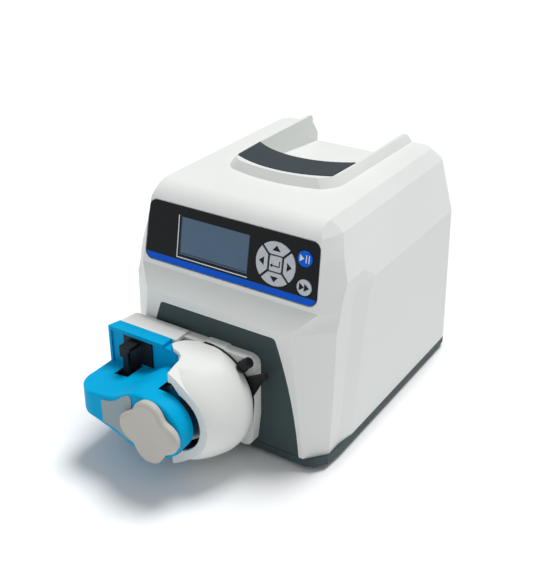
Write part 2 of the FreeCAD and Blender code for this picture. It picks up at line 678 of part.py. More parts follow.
def make_power_switch():
    frame = block((-8, 13), (-16, -1), (17.2, 44.8)).fuse(block((-10, 15), (-1, 1), (15, 47)))
    frame = frame.cut(block((-6, 11), (-13, 3), (19.5, 42.5)))
    pivots = Part.makeCylinder(1.5, 17, Vector(-6, -4, 31), Vector(1, 0, 0))
    keep(formed("power_switch_frame", frame.fuse(pivots).removeSplitter(), REAR_FRAME), "power_switch_frame")
    profile = [(-7, 26), (-7, 36), (-0.5, 41), (-2, 31), (1.2, 22)]
    corners = [Vector(-5.7, y, z) for y, z in profile]
    rocker = Part.Face(Part.makePolygon(corners + corners[:1])).extrude(Vector(16.4, 0, 0))
    rocker = rocker.cut(Part.makeCylinder(1.55, 20, Vector(-7, -4, 31), Vector(1, 0, 0)))
    keep(formed("power_rocker", rocker, REAR_FRAME), "power_rocker")


def make_remote_socket():
    shell = block((28.3, 65.7), (-14, -1), (18.3, 35.7)).fuse(block((24, 70), (-1, 0), (17, 37)))
    insert = block((31, 63), (-10, 1), (21, 33))
    keep(formed("remote_socket", shell.cut(insert).removeSplitter(), REAR_FRAME), "remote_socket")


def make_fan():
    centre = Vector(-30, 0, 98)
    frame = block((-60, 0), (-20, -4.6), (68, 128))
    frame = frame.cut(cylinder_y(27.5, -25, 0, centre.x, centre.z))
    hub = cylinder_y(9, -20, -17.5, centre.x, centre.z)
    struts = [block((-31.5, -28.5), (-20, -17.5), (69, 127)), block((-59, -1), (-20, -17.5), (96.5, 99.5))]
    axle = cylinder_y(1.5, -18, -6, centre.x, centre.z)
    frame = frame.multiFuse([hub, axle] + struts).removeSplitter()
    keep(formed("fan_frame", frame, REAR_FRAME), "fan_frame")
    rotor = cylinder_y(9, -16.5, -6.5, centre.x, centre.z)
    for step in range(7):
        blade = block((7, 26), (-13, -11.4), (-7, 7))
        blade.rotate(Vector(0, -12, 0), Vector(1, 0, 0), 28)
        blade.rotate(Vector(), Vector(0, 1, 0), step * 360 / 7)
        rotor = rotor.fuse(blade.translated(centre))
    rotor = rotor.cut(cylinder_y(1.56, -20, 0, centre.x, centre.z))
    keep(formed("fan_rotor", rotor.removeSplitter(), REAR_FRAME), "fan_rotor")


# ---------------------------------------------------------------- drive train inside the case

def involute(angle):
    return math.tan(angle) - angle


def gear_outline(teeth, module, addendum, dedendum, thinning, first_tooth):
    """Spur gear outline in (x, z) about its own centre; `first_tooth` is the angle of one tooth."""
    pitch = teeth * module / 2
    base = pitch * math.cos(math.radians(20))
    root, tip = pitch - dedendum, pitch + addendum
    half_pitch = math.pi / (2 * teeth) - thinning / (2 * pitch)

    def half_angle(radius):
        pressure = math.acos(min(1.0, base / radius)) if radius > base else 0.0
        return half_pitch + involute(math.radians(20)) - involute(pressure)

    levels = [root, max(root + 0.05, min(base, pitch - 0.3)), (pitch + tip) / 2, tip]
    points = []
    for step in range(teeth):
        middle = first_tooth + 2 * math.pi * step / teeth
        rising = [(radius, middle - half_angle(radius)) for radius in levels]
        falling = [(radius, middle + half_angle(radius)) for radius in reversed(levels)]
        points += [(radius * math.cos(angle), radius * math.sin(angle)) for radius, angle in rising + falling]
    return points


def spur_gear(teeth, addendum, dedendum, thinning, first_tooth, y_low, y_high, x, z):
    points = gear_outline(teeth, value("gear_module"), addendum, dedendum, thinning, first_tooth)
    return upright([(x + u, z + v) for u, v in points], y_low, y_high)


def make_motor_bracket():
    plate = padded("bracket_plate", "XZ_Plane", "4", ("0", "front_y + 9.5", "0"),
                   polygons=[[("0 - 46", "8"), ("46", "8"), ("46", "116"), ("0 - 46", "116")]])
    pocket(plate, "XZ_Plane", "4", circles=[("0", "axis_z", "bearing_radius")], backwards=True)
    screws = [(x, f"axis_z + ({z})", "2") for x in ("0 - 24", "24") for z in ("0 - 24", "24")]
    pocket(plate, "XZ_Plane", "4", circles=screws, backwards=True)
    foot = box("bracket_foot", ("0 - 46", "46"), ("front_y + 9.5", "front_y + 45"), ("8", "12"))
    keep(fuse("motor_bracket_whole", plate, foot), "motor_bracket")


def make_gear_plate():
    plate = box("gear_plate_blank", ("0 - 40", "40"), ("front_y + 25", "front_y + 29"), ("12", "118"))
    through = ("front_y + 24", "front_y + 30")
    bearing = rod("gear_plate_bearing_hole", "bearing_radius", "y", through, ("0", "axis_z"))
    boss = rod("gear_plate_boss_hole", "9", "y", through, ("0", "axis_z + 28.8"))
    bare = cut("gear_plate_bare", plate, bearing, boss)
    spacers = [rod(f"gear_spacer_{i}", "4", "y", ("front_y + 9.5", "front_y + 25"), (x, z))
               for i, (x, z) in enumerate((x, z) for x in ("0 - 34", "34") for z in ("20", "108"))]
    keep(fuse("gear_plate", bare, *spacers), "gear_plate")


def make_motor():
    can = rod("motor_can", "motor_radius", "y", ("front_y + 29", "front_y + 95"), ("0", "axis_z + 28.8"))
    boss = rod("motor_boss", "9", "y", ("front_y + 25", "front_y + 29"), ("0", "axis_z + 28.8"))
    cap = rod("motor_cap", "10", "y", ("front_y + 95", "front_y + 99"), ("0", "axis_z + 28.8"))
    bore = rod("motor_bore", "2.55", "y", ("front_y + 20", "front_y + 60"), ("0", "axis_z + 28.8"))
    keep(cut("motor", fuse("motor_blank", can, boss, cap), bore), "motor")
    centre = value("axis_z") + 28.8
    front = value("front_y")
    pinion = spur_gear(int(value("pinion_teeth")), 0.75, 1.0, 0.25, math.radians(-90 + 10),
                       front + 13, front + 21, 0, centre)
    shaft = cylinder_y(2.5, front + 13, front + 58, 0, centre)
    keep(formed("motor_pinion", pinion.fuse(shaft).removeSplitter()), "motor_pinion")


def make_drive_gear():
    front = value("front_y")
    gear = spur_gear(int(value("gear_teeth")), 0.75, 1.0, 0.25, math.radians(90), front + 13, front + 21,
                     0, value("axis_z"))
    hub = cylinder_y(9, front + 21, front + 24, 0, value("axis_z"))
    gear = gear.fuse(hub).cut(cylinder_y(value("shaft_radius"), front + 10, front + 30, 0, value("axis_z")))
    for turn in range(5):
        angle = math.radians(72 * turn)
        gear = gear.cut(cylinder_y(4, front + 10, front + 30, 14 * math.cos(angle),
                                   value("axis_z") + 14 * math.sin(angle)))
    keep(formed("drive_gear", gear.removeSplitter()), "drive_gear")


def make_output_shaft():
    """Shaft that carries the rotor; a tongue at its front end turns the rotor shaft."""
    shaft = rod("output_shaft_blank", "shaft_radius", "y", ("front_y - 9.5", "front_y + 29"), ("0", "axis_z"))
    tongue = box("output_tongue", ("0 - 1.5", "1.5"), ("front_y - 15", "front_y - 9.5"),
                 ("axis_z - 4", "axis_z + 4"))
    keep(fuse("output_shaft", shaft, tongue), "output_shaft")
    rings = []
    for index, start in enumerate(("front_y + 5.5", "front_y + 25")):
        ring = rod(f"bearing_ring_{index}", "bearing_radius", "y", (start, f"{start} + 4"), ("0", "axis_z"))
        bore = rod(f"bearing_bore_{index}", "shaft_radius + fit_gap", "y", (f"{start} - 1", f"{start} + 5"),
                   ("0", "axis_z"))
        rings.append(cut(f"bearing_{index}", ring, bore))
    ring = rod("bush_ring", "8", "y", ("nose_back_y - 4", "nose_back_y"), ("0", "axis_z"))
    bore = rod("bush_bore", "shaft_radius + fit_gap", "y", ("nose_back_y - 5", "nose_back_y + 1"),
               ("0", "axis_z"))
    rings.append(cut("rotor_bush", ring, bore))
    keep(fuse("shaft_bush_group", *rings), "shaft_bushes")


def make_electronics():
    board = box("power_board", ("0 - 92", "0 - 56"), ("0 - 40", "90"), ("12", "13.6"))
    parts = [box("power_transformer", ("0 - 90", "0 - 60"), ("40", "80"), ("13.6", "44")),
             box("power_heatsink", ("0 - 90", "0 - 86"), ("0 - 30", "25"), ("13.6", "40")),
             rod("power_capacitor", "9", "z", ("13.6", "48"), ("0 - 70", "0")),
             rod("power_capacitor_small", "6", "z", ("13.6", "36"), ("0 - 68", "22"))]
    posts = [rod(f"power_post_{i}", "2.5", "z", ("8", "12"), (x, y))
             for i, (x, y) in enumerate((x, y) for x in ("0 - 88", "0 - 60") for y in ("0 - 36", "86"))]
    keep(fuse("power_supply", board, *parts, *posts), "power_supply")
    board = box("logic_board", ("60", "61.6"), ("0 - 20", "90"), ("12", "100"))
    chips = [box(f"logic_chip_{i}", ("61.6", "64"), (y, f"{y} + 20"), (z, f"{z} + 14"))
             for i, (y, z) in enumerate((("0", "30"), ("34", "30"), ("34", "60")))]
    rails = [box(f"logic_rail_{i}", ("57", "65"), (y, f"{y} + 8"), ("8", "12"))
             for i, y in enumerate(("0 - 18", "80"))]
    keep(fuse("control_board", board, *chips, *rails), "control_board")


# ---------------------------------------------------------------- pump head, fixed pieces

def make_mounting_plate():
    plate = padded("head_mounting_plate", "XZ_Plane", "front_y - plate_front_y", ("0", "front_y", "0"),
                   polygons=[[("0 - plate_half + 3.4", "plate_low_z"), ("plate_half - 3.4", "plate_low_z"),
                              ("plate_half", "plate_low_z + 30"), ("plate_half", "plate_top_z"),
                              ("16", "plate_top_z"), ("14", "plate_top_z + 1.3"),
                              ("0 - 5", "plate_top_z + 1.3"), ("0 - 7", "plate_top_z"),
                              ("0 - plate_half", "plate_top_z"),
                              ("0 - plate_half", "plate_low_z + 30")]])
    soften(plate, "plate_corner", lambda edge: runs_along(edge, Vector(0, 1, 0)) and edge.CenterOfMass.x > 35)
    pocket(plate, "XZ_Plane", "20", circles=[("0", "axis_z", "12")], backwards=True)
    screws = [(x, f"axis_z + ({z})", "2") for x in ("0 - 24", "24") for z in ("0 - 24", "24")]
    pocket(plate, "XZ_Plane", "20", circles=screws, backwards=True)
    heads = [(x, z, "4") for x, z, _ in screws]
    wells = pocket(plate, "XZ_Plane", "20", circles=heads, backwards=True)
    wells.Profile[0].AttachmentOffset = Placement(Vector(0, 0, 6.5), Rotation())
    keep(plate, "head_mounting_plate")


def make_mounting_screws():
    places = [(x, f"axis_z + ({z})") for x in ("0 - 24", "24") for z in ("0 - 24", "24")]
    heads = [rod(f"head_screw_head_{i}", "3.6", "y", ("front_y - 9.5", "front_y - 6.5"), place)
             for i, place in enumerate(places)]
    sockets = [rod(f"head_screw_socket_{i}", "1.6", "y", ("front_y - 10", "front_y - 7.5"), place)
               for i, place in enumerate(places)]
    shanks = [rod(f"head_screw_shank_{i}", "1.95", "y", ("front_y - 6.5", "front_y + 10"), place)
              for i, place in enumerate(places)]
    blanks = fuse("head_screw_blanks", *heads, *shanks)
    keep(cut("head_mounting_screws", blanks, *sockets), "head_mounting_screws")


def make_head_frame():
    """White tower at the left of the plate with a slab across its top."""
    back, front, half = value("body_back_y"), value("front_y") - 2.5, value("plate_half")
    low, high, plate_y = value("head_low_z"), value("head_top_z"), value("plate_front_y") - 0.2
    plan = flat([(-82, front), (-85.4, back), (-half, back), (-half, front)]).translated(Vector(0, 0, low))
    frame = plan.extrude(Vector(0, 0, high - low))
    for z_low, z_high, z_plate in ((97.5, high, 99.4), (low, 17.5, 12.0)):
        frame = frame.fuse(block((-half - 1, -25.7), (back, plate_y), (z_low, z_high)))
        if z_low > 50:
            frame = frame.fuse(block((-half - 1, -25.7), (plate_y, front), (z_plate, high)))
    frame = frame.cut(block((-79.3, -65.7), (back - 1, -95), (17.4, 97.6)))
    offset, axis_z, radius = value("rod_offset"), value("axis_z"), value("rod_radius + fit_gap")
    for z in (axis_z - offset, axis_z + offset):
        frame = frame.cut(Part.makeCylinder(radius, 42, Vector(-66, value("rod_y"), z), Vector(1, 0, 0)))
    frame = frame.removeSplitter()
    frame = softened(frame, 2.5, lambda e: runs_along(e, Vector(0, 0, 1)) and e.CenterOfMass.x < -80
                     and e.CenterOfMass.y > front - 1)
    keep(formed("head_frame", frame), "head_frame")


def smooth_edge(points, start_direction, end_direction):
    """A curve through (x, z) points that leaves and arrives along the given (x, z) directions."""
    curve = Part.BSplineCurve()
    tangents = [Vector(x, 0, z) for x, z in (start_direction, end_direction)]
    curve.interpolate(Points=[Vector(x, 0, z) for x, z in points], InitialTangent=tangents[0],
                      FinalTangent=tangents[1])
    return curve.toShape()


def body_outline():
    """Front view of the blue body: a low arm at the left that swells into the round nose."""
    x, z, radius = value("nose_x"), value("axis_z"), value("nose_radius")
    foot, crown = (x, z - radius), (x, z + radius)
    lower = [(-89, 47.5), (-72, 45.4), (-56, 41.2), (-41, 36.4), (-32, 32.6), foot]
    upper = [crown, (-26, 82.6), (-34, 78.2), (-42, 73.6), (-56, 70.2), (-72, 68.3), (-89, 66.5)]
    arc = Part.Arc(Vector(foot[0], 0, foot[1]), Vector(x + radius, 0, z), Vector(crown[0], 0, crown[1]))
    heel = Part.makeLine(Vector(upper[-1][0], 0, upper[-1][1]), Vector(lower[0][0], 0, lower[0][1]))
    return Part.Face(Part.Wire([smooth_edge(lower, (1, -0.1), (1, 0)), arc.toShape(),
                                smooth_edge(upper, (-1, 0), (-1, -0.1)), heel]))


def body_arm():
    """Arm and nose of the blue body with their front edge rounded."""
    front, back = value("nose_front_y"), value("body_back_y")
    arm = body_outline().translated(Vector(0, front, 0)).extrude(Vector(0, back - front, 0))
    arm = softened(arm, value("arm_edge"), lambda edge: edge.BoundBox.YMax < front + 0.01
                   and not runs_along(edge, Vector(0, 0, 1)))
    corner = [(-88, -138), (-82.6, -157), (-66, -165)]
    plan = Part.Wire([line_edge((-85.4, back), (-88, -116), 0), line_edge((-88, -116), corner[0], 0),
                      arc_edge(*corner, 0), line_edge(corner[2], (40, front), 0),
                      line_edge((40, front), (40, back), 0), line_edge((40, back), (-85.4, back), 0)])
    return arm.common(Part.Face(plan).extrude(Vector(0, 0, 120)))


def make_head_body():
    """Blue body: arm and nose in front, recess walls behind, slots for the tube retainers."""
    front, back = value("nose_front_y"), value("body_back_y")
    wall_outline = [(-90, 14), (-29.6, 14), (-29.6, 17.5), (-16, 17.5), (-16, 97.5), (-29.6, 97.5),
                    (-29.6, 101), (-90, 101)]
    wall = upright(wall_outline, value("recess_face_y"), back)
    flanges = [block((-90, -29.6), (value("flange_front_y"), back), z) for z in ((14, 17.5), (97.5, 101))]
    side = flat([(-85.4, back), (-88.2, -114), (-88.2, -118), (0, -118), (0, back)])
    side = side.extrude(Vector(0, 0, 120))
    rim = block((-90, -85.6), (value("flange_front_y"), back), (14, 101))
    body = body_arm().multiFuse([piece.common(side) for piece in [wall, rim] + flanges])
    axis_z, nose_back = value("axis_z"), value("nose_back_y")
    body = body.cut(cylinder_y(value("rotor_clearance"), nose_back, back + 1, 0, axis_z))
    body = body.cut(block((-10, 60), (nose_back, back + 1), (0, 120)))
    for sign in (-1, 1):
        def band(low, high):
            return (axis_z + low, axis_z + high) if sign > 0 else (axis_z - high, axis_z - low)
        body = body.cut(block((-70, -55), (-133, value("recess_face_y")), band(6, 25)))
        body = body.cut(block((-63.2, -56.8), (-129.2, -125.2), band(0.7, 20)))
    body = body.cut(block((-79.3, -66), (-158.5, back + 1), (46.6, 52.6)))
    body = body.cut(block((-79.3, 18), (-158.5, -152.5), (46.6, 53.4)))
    body = body.cut(cylinder_y(6.6, -158.5, -152.5, value("knob_x"), axis_z))
    body = body.cut(cylinder_y(value("shaft_radius + fit_gap"), front - 1, -152.5, value("knob_x"), axis_z))
    body = body.cut(cylinder_y(8, -152.5, nose_back + 1, 0, axis_z))
    keep(formed("head_body", body.removeSplitter()), "head_body")


def make_head_label():
    """Blank grey label on the arm, rounded where it runs up beside the knob."""
    y = value("nose_front_y")
    upper = [(-56, 67), (-48, 68.1), (-41, 71.2), (-35, 75.8), (-29.5, 79.6)]
    lower = [(-24, 36), (-32, 37.4), (-41, 41.6), (-56, 45.2)]
    crest = Part.Arc(Vector(-29.5, 0, 79.6), Vector(-25, 0, 79.6), Vector(-24, 0, 75.5)).toShape()
    outline = Part.Wire([smooth_edge(upper, (1, 0), (1, 0.5)), crest,
                         Part.makeLine(Vector(-24, 0, 75.5), Vector(-24, 0, 36)),
                         smooth_edge(lower, (-1, 0.1), (-1, 0.2)),
                         Part.makeLine(Vector(-56, 0, 45.2), Vector(-56, 0, 67))])
    label = Part.Face(outline).extrude(Vector(0, 0.6, 0)).translated(Vector(0, y - 0.6, 0))
    label = softened(label, 1.5, lambda e: runs_along(e, Vector(0, 1, 0)) and e.CenterOfMass.x < -50)
    keep(formed("head_label_plate", label), "head_label_plate")


def make_tube_guides():
    """Black plates on the recess wall with a liner in each retainer's pocket, behind the tubing path.

    The lower liner is narrower, because the arm of the shell's rack passes beside it.
    """
    face = "recess_face_y"
    guides = []
    for side, sign, low, left in (("upper", 1, 16.5, 69.8), ("lower", -1, 21.2, 65.9)):
        def span(low, high):
            return axis_band(sign, low, high)
        pocket = (f"0 - {left}", "0 - 55.2")
        depth = (f"{face} - guide_thick", face)
        plate = box(f"guide_plate_{side}", ("0 - 72", "0 - 42"), depth, span(low, 39.9))
        liner = box(f"guide_liner_{side}", pocket, ("0 - 132.8", f"{face} - guide_thick"), span(6.1, 10.6))
        well = box(f"guide_well_{side}", (f"1.4 - {left}", "0 - 56.6"), ("0 - 131.4", f"{face} - 3"),
                   span(7.4, 12))
        slot = box(f"guide_slot_{side}", ("0 - 63.2", "0 - 56.8"), ("0 - 129.2", "0 - 125.2"), span(5, 8))
        web = box(f"guide_web_{side}", pocket, depth, span(6.1, low))
        guides += [plate, cut(f"guide_tray_{side}", liner, well, slot), web]
    keep(fuse("tube_guide_pair", *guides), "tube_guides")


def make_retainers():
    """Sprung hooks that hold the tubing down on the arm, and the springs under their stems."""
    for side, sign in (("upper", 1), ("lower", -1)):
        def span(low, high):
            return axis_band(sign, low, high)
        stem = box(f"retainer_stem_{side}", ("0 - 63", "0 - 57"), ("0 - 129", "0 - 125.4"), span(8.5, 34))
        cap = box(f"retainer_cap_{side}", ("retainer_left", "retainer_right"), ("0 - 129", "0 - 116.3"),
                  span(33.5, 37.5))
        lip = box(f"retainer_lip_{side}", ("retainer_left", "0 - 61"), ("0 - 129", "0 - 126.4"), span(27, 34))
        keep(fuse(f"{side}_tube_retainer", stem, cap, lip), f"{side}_tube_retainer")
        outer = rod(f"spring_outer_{side}", "1.7", "z", span(0.7, 8.5), ("0 - 60", "0 - 127.2"))
        inner = rod(f"spring_inner_{side}", "1.1", "z", span(0, 9), ("0 - 60", "0 - 127.2"))
        keep(cut(f"{side}_retainer_spring", outer, inner), f"{side}_retainer_spring")


# ---------------------------------------------------------------- pump head, moving pieces

def lobed_wire(shrink, y):
    """Closed outline with four broad lobes about the knob's axis."""
    mean, swing, count = value("knob_mean_radius") - shrink, value("knob_lobe_swing"), 32
    points = []
    for step in range(count):
        angle = 2 * math.pi * step / count
        radius = mean + swing * (math.cos(4 * angle) - 0.15 * math.cos(8 * angle))
        points.append(Vector(value("knob_x") + radius * math.cos(angle), y,
                             value("axis_z") + radius * math.sin(angle)))
    curve = Part.BSplineCurve()
    curve.interpolate(points, PeriodicFlag=True)
    return Part.Wire(curve.toShape())


def make_knob():
    """Four-lobed knob with a rounded bevel round its flat face, pressed on its shaft."""
    back, rim, face = value("knob_back_y"), value("knob_back_y") - 4.6, value("knob_back_y") - 7
    sections = [lobed_wire(0, rim), lobed_wire(1.2, rim - 1.4), lobed_wire(4.2, face)]
    bevel = Part.makeLoft(sections, True, False)
    grip = Part.makeLoft([lobed_wire(0.5, back), lobed_wire(0, rim)], True, True)
    bore = cylinder_y(value("shaft_radius"), -170, back + 1, value("knob_x"), value("axis_z"))
    keep(formed("knob", grip.fuse(bevel).cut(bore)), "knob")
    axis_z, x = value("axis_z"), value("knob_x")
    pinion = spur_gear(int(value("knob_pinion_teeth")), 0.5, 0.75, 0.2, math.radians(-90),
                       value("knob_pinion_front_y"), value("knob_pinion_back_y"), x, axis_z)
    shaft = cylinder_y(value("shaft_radius"), -170, value("knob_pinion_front_y"), x, axis_z)
    keep(formed("knob_shaft", shaft.fuse(pinion).removeSplitter()), "knob_shaft")


def make_shell_rack():
    """Rack, arm and yoke in one casting: the knob pinion pushes the shell through it."""
    pitch_z = value("axis_z") - value("knob_pinion_teeth * gear_module / 2")
    step = math.pi * value("gear_module")
    top, foot, body_top = pitch_z + 0.45, pitch_z - 0.75, pitch_z - 0.7
    slope = math.tan(math.radians(20))
    x_middle = value("knob_x")
    half = step / 4 - 0.1
    front, back = value("knob_pinion_front_y"), value("knob_pinion_back_y")
    bar = block((-78.5, 10), (front, back), (47.2, body_top))
    teeth = []
    for index in range(-6, 5):
        centre = x_middle + (index + 0.5) * step
        wide, narrow = half + (pitch_z - foot) * slope, half - (top - pitch_z) * slope
        outline = [(centre - wide, foot - 0.2), (centre + wide, foot - 0.2), (centre + narrow, top),
                   (centre - narrow, top)]
        teeth.append(upright(outline, front, back))
    arm = block((-78.5, -74), (back - 1, -96), (47.2, 52))
    yoke = block((-78.5, -74), (-103, -96), (18, 97))
    rack = bar.multiFuse(teeth + [arm, yoke])
    for sign in (-1, 1):
        z = value("axis_z") + sign * value("rod_offset")
        rack = rack.cut(Part.makeCylinder(value("rod_radius"), 20, Vector(-80, value("rod_y"), z),
                                          Vector(1, 0, 0)))
    keep(formed("shell_rack", rack.removeSplitter()), "shell_rack")
    rods = [rod(f"shell_rod_{i}", "rod_radius", "x", ("0 - 78.5", "16"), ("rod_y", height))
            for i, height in enumerate(("axis_z - rod_offset", "axis_z + rod_offset"))]
    keep(fuse("shell_rods", *rods), "shell_rods")


def shell_turned(profile, axis_z):
    """Solid of revolution about the pump axis from (y, radius) points."""
    corners = [Vector(0, y, axis_z + r) for y, r in profile]
    face = Part.Face(Part.makePolygon(corners + corners[:1]))
    return face.revolve(Vector(0, 0, axis_z), Vector(0, 1, 0), 360)


def make_occlusion_shell():
    """White C-shaped shell, open to the left, with a barrel back, flat top and bottom and a front rim."""
    axis_z, rim, back = value("axis_z"), value("rim_y"), value("shell_back_y")
    low, high = value("head_low_z"), value("head_top_z")
    outer = Part.BSplineCurve()
    outer.interpolate([Vector(0, y, axis_z + r) for y, r in
                       ((back, 44.2), (-98.5, 46.4), (-103, 48.6), (-108, 49.8), (-113, 50.2), (-119, 49.2),
                        (-127, 46.8), (-135, 43.6), (-142, 39.8), (rim, 35.5))])
    ends = (outer.StartPoint, outer.EndPoint)
    base = [Vector(0, rim, axis_z), Vector(0, back, axis_z)]
    wire = Part.Wire([outer.toShape(), Part.makeLine(ends[1], base[0]), Part.makeLine(base[0], base[1]),
                      Part.makeLine(base[1], ends[0])])
    barrel = Part.Face(wire).revolve(Vector(0, 0, axis_z), Vector(0, 1, 0), 360)
    rim_half = [(0, high + 3), (0.8, high), (9.8, 95.4), (17.9, 89.2), (25.2, 82.4)]
    bottom = [(x, 2 * axis_z - z) for x, z in reversed(rim_half)]
    brow = upright(rim_half + bottom + [(-60, low - 3), (-60, high + 3)], rim, -116)
    solid = Part.makeSolid(barrel.Shells[0]) if barrel.ShapeType != "Solid" else barrel
    solid = solid.fuse(brow)
    solid = solid.common(block((-60, 60), (rim, back), (low, high)))
    edge = [(-25, -90), (-25, -110), (-19.7, -115), (-11.7, -118), (-7.5, -121), (-4.7, -127), (-3, -137),
            (0, -150)]
    left = flat(edge + [(-80, -150), (-80, -90)]).extrude(Vector(0, 0, 130))
    solid = solid.cut(left)
    bore = cylinder_y(value("shell_bore"), rim + 3, back + 1, 0, axis_z)
    lip = cylinder_y(28.6, rim - 1, rim + 4, 0, axis_z)
    sweep = upright([(9, axis_z + 28), (2.5, 92.7), (-40, 92.7), (-40, 22.3), (2.5, 22.3), (9, axis_z - 28)],
                    rim - 1, -119)
    sweep = sweep.fuse(block((-80, 9), (rim - 1, -119), (axis_z - 28.2, axis_z + 28.2)))
    rear_mouth = block((-80, -13), (-119.5, back + 1), (17.3, 97.7))
    legs = block((-80, 0), (rim + 3, back + 1), (axis_z - value("shell_bore"), axis_z + value("shell_bore")))
    for tool in (bore, lip, sweep, rear_mouth, legs):
        solid = solid.cut(tool)
    for sign in (-1, 1):
        z = axis_z + sign * value("rod_offset")
        solid = solid.cut(Part.makeCylinder(value("rod_radius"), 60, Vector(-44, value("rod_y"), z),
                                            Vector(1, 0, 0)))
    keep(formed("occlusion_shell", solid.removeSplitter()), "occlusion_shell")


def make_occlusion_bed():
    """Black lining that the tubing is squeezed against: half a ring with straight legs."""
    axis_z, inner, outer = value("axis_z"), value("bed_radius"), value("bed_outer")
    front, back = value("rim_y") + 3.2, value("shell_back_y") - 1
    ring = cylinder_y(outer, front, back, 0, axis_z).cut(cylinder_y(inner, front - 1, back + 1, 0, axis_z))
    ring = ring.cut(block((-50, 0), (front - 1, back + 1), (0, 120)))
    legs = [block((-6, 0), (front + 24, back), (axis_z + inner, axis_z + outer)),
            block((-6, 0), (front + 24, back), (axis_z - outer, axis_z - inner))]
    keep(formed("occlusion_bed", ring.multiFuse(legs).removeSplitter()), "occlusion_bed")


def radial(shape, degrees):
    """Turns a shape that was drawn along +X from the origin to an angle about the pump axis."""
    frame = Placement(Vector(0, 0, value("axis_z")), Rotation(Vector(0, 1, 0), -degrees))
    return framed(shape, frame)


def make_occlusion_lever():
    """Black ring behind the shell with an adjusting arm and a collar for the sprung plunger."""
    axis_z = value("axis_z")
    ring = cylinder_y(44, -95.3, -93.2, 0, axis_z).cut(cylinder_y(34, -96, -93, 0, axis_z))
    ring = ring.cut(block((-60, -4), (-96, -93), (0, 120)))
    arm = radial(block((43, 66), (-95.3, -93.2), (-2.4, 2.4)), 30)
    tip = radial(block((50.5, 66), (-97.6, -93.2), (-2.4, 2.4)), 30)
    gusset = flat([(42, -15), (62, -2.2), (42, 2)]).extrude(Vector(0, 0, 2.1))
    gusset = gusset.fuse(flat([(50.5, -7), (62, -2.2), (50.5, 2)]).extrude(Vector(0, 0, 4.4)))
    gusset.Placement = Placement(Vector(0, -93.2, 0), Rotation(Vector(1, 0, 0), 90))
    gusset = radial(gusset, 30)
    lug = radial(block((43, 52), (-95.3, -93.2), (-4.5, 4.5)), 45)
    collar = radial(Part.makeCylinder(5.0, 2.4, Vector(49.7, -98.3, 0), Vector(1, 0, 0)), 45)
    lever = ring.multiFuse([arm, tip, gusset, lug, collar])
    lever = lever.cut(radial(Part.makeCylinder(2.05, 20, Vector(45, -98.3, 0), Vector(1, 0, 0)), 45))
    keep(formed("occlusion_lever", lever.removeSplitter()), "occlusion_lever")
    pin = Part.makeCylinder(4.5, 8.8, Vector(52.3, 0, 0), Vector(1, 0, 0))
    pin = softened(pin, 1.2, lambda e: e.CenterOfMass.x > 60)
    pin = pin.fuse(Part.makeCylinder(2.0, 5.6, Vector(47.6, 0, 0), Vector(1, 0, 0))).removeSplitter()
    pin.translate(Vector(0, -98.3, 0))
    keep(formed("lever_plunger", radial(pin, 45)), "lever_plunger")


def make_rotor():
    axis = ("0", "axis_z")
    shaft = rod("rotor_shaft_blank", "shaft_radius", "y", ("nose_back_y - 1.5", "front_y - 11"), axis)
    slot = box("rotor_shaft_slot", ("0 - 1.55", "1.55"), ("front_y - 15.2", "front_y - 10"),
               ("axis_z - 6", "axis_z + 6"))
    keep(cut("rotor_shaft", shaft, slot), "rotor_shaft")
    plates = [rod("rotor_plate_front", "24", "y", ("0 - 139", "0 - 136"), axis),
              rod("rotor_plate_back", "24", "y", ("0 - 112", "0 - 109"), axis),
              rod("rotor_hub", "8", "y", ("0 - 136", "0 - 112"), axis)]
    holes = [rod("rotor_bore", "shaft_radius", "y", ("0 - 140", "0 - 108"), axis)]
    pins = []
    for index in range(4):
        angle = math.radians(45 + 90 * index)
        u, v = round(math.cos(angle), 6), round(math.sin(angle), 6)
        place = (f"({u}) * roller_pitch", f"axis_z + ({v}) * roller_pitch")
        holes.append(rod(f"rotor_pin_hole_{index}", "pin_radius", "y", ("0 - 140", "0 - 108"), place))
        pins.append(rod(f"roller_pin_{index}", "pin_radius", "y", ("0 - 139", "0 - 109"), place))
        sleeve = rod(f"roller_sleeve_{index}", "roller_radius", "y", ("roller_front_y", "roller_back_y"),
                     place)
        bore = rod(f"roller_bore_{index}", "pin_radius + fit_gap", "y",
                   ("roller_front_y - 1", "roller_back_y + 1"), place)
        keep(cut(f"roller_{index + 1}", sleeve, bore), f"roller_{index + 1}")
    keep(cut("rotor_cage", fuse("rotor_cage_blank", *plates), *holes), "rotor_cage")
    keep(fuse("roller_pins", *pins), "roller_pins")


for make in (make_housing_shell, make_base_tray, make_rubber_feet, make_case_screws, make_front_panel,
             make_top_grip_pad, make_keypad_overlay, make_keys, make_display, make_keypad_board,
             make_rear_panel, make_rear_screws, make_power_inlet, make_power_switch, make_remote_socket,
             make_fan, make_motor_bracket, make_gear_plate, make_motor, make_drive_gear,
             make_output_shaft, make_electronics, make_mounting_plate, make_mounting_screws,
             make_head_frame, make_head_body, make_head_label, make_tube_guides, make_retainers,
             make_knob, make_shell_rack, make_occlusion_shell, make_occlusion_bed, make_occlusion_lever,
             make_rotor):
    make()
doc.recompute()

os.makedirs("parts", exist_ok=True)
for item in doc.Objects:
    if "Invalid" in item.State or "Error" in item.State:
        raise RuntimeError(f"{item.Name}: {item.State}")
for item in PARTS:
    if item.Shape.isNull() or not item.Shape.isValid():
        raise RuntimeError(f"{item.Label}: the shape is null or not valid")
    item.Shape.exportStep(f"parts/{item.Label}.step")
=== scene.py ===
"""Looks of the bench peristaltic pump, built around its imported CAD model.

Places are in metres in the frame of the CAD model, +Z up and the front towards -Y. Sizes given
in millimetres are multiplied by MM where they are used.
"""

import json
import math

import bmesh
import bpy
from mathutils import Matrix, Vector


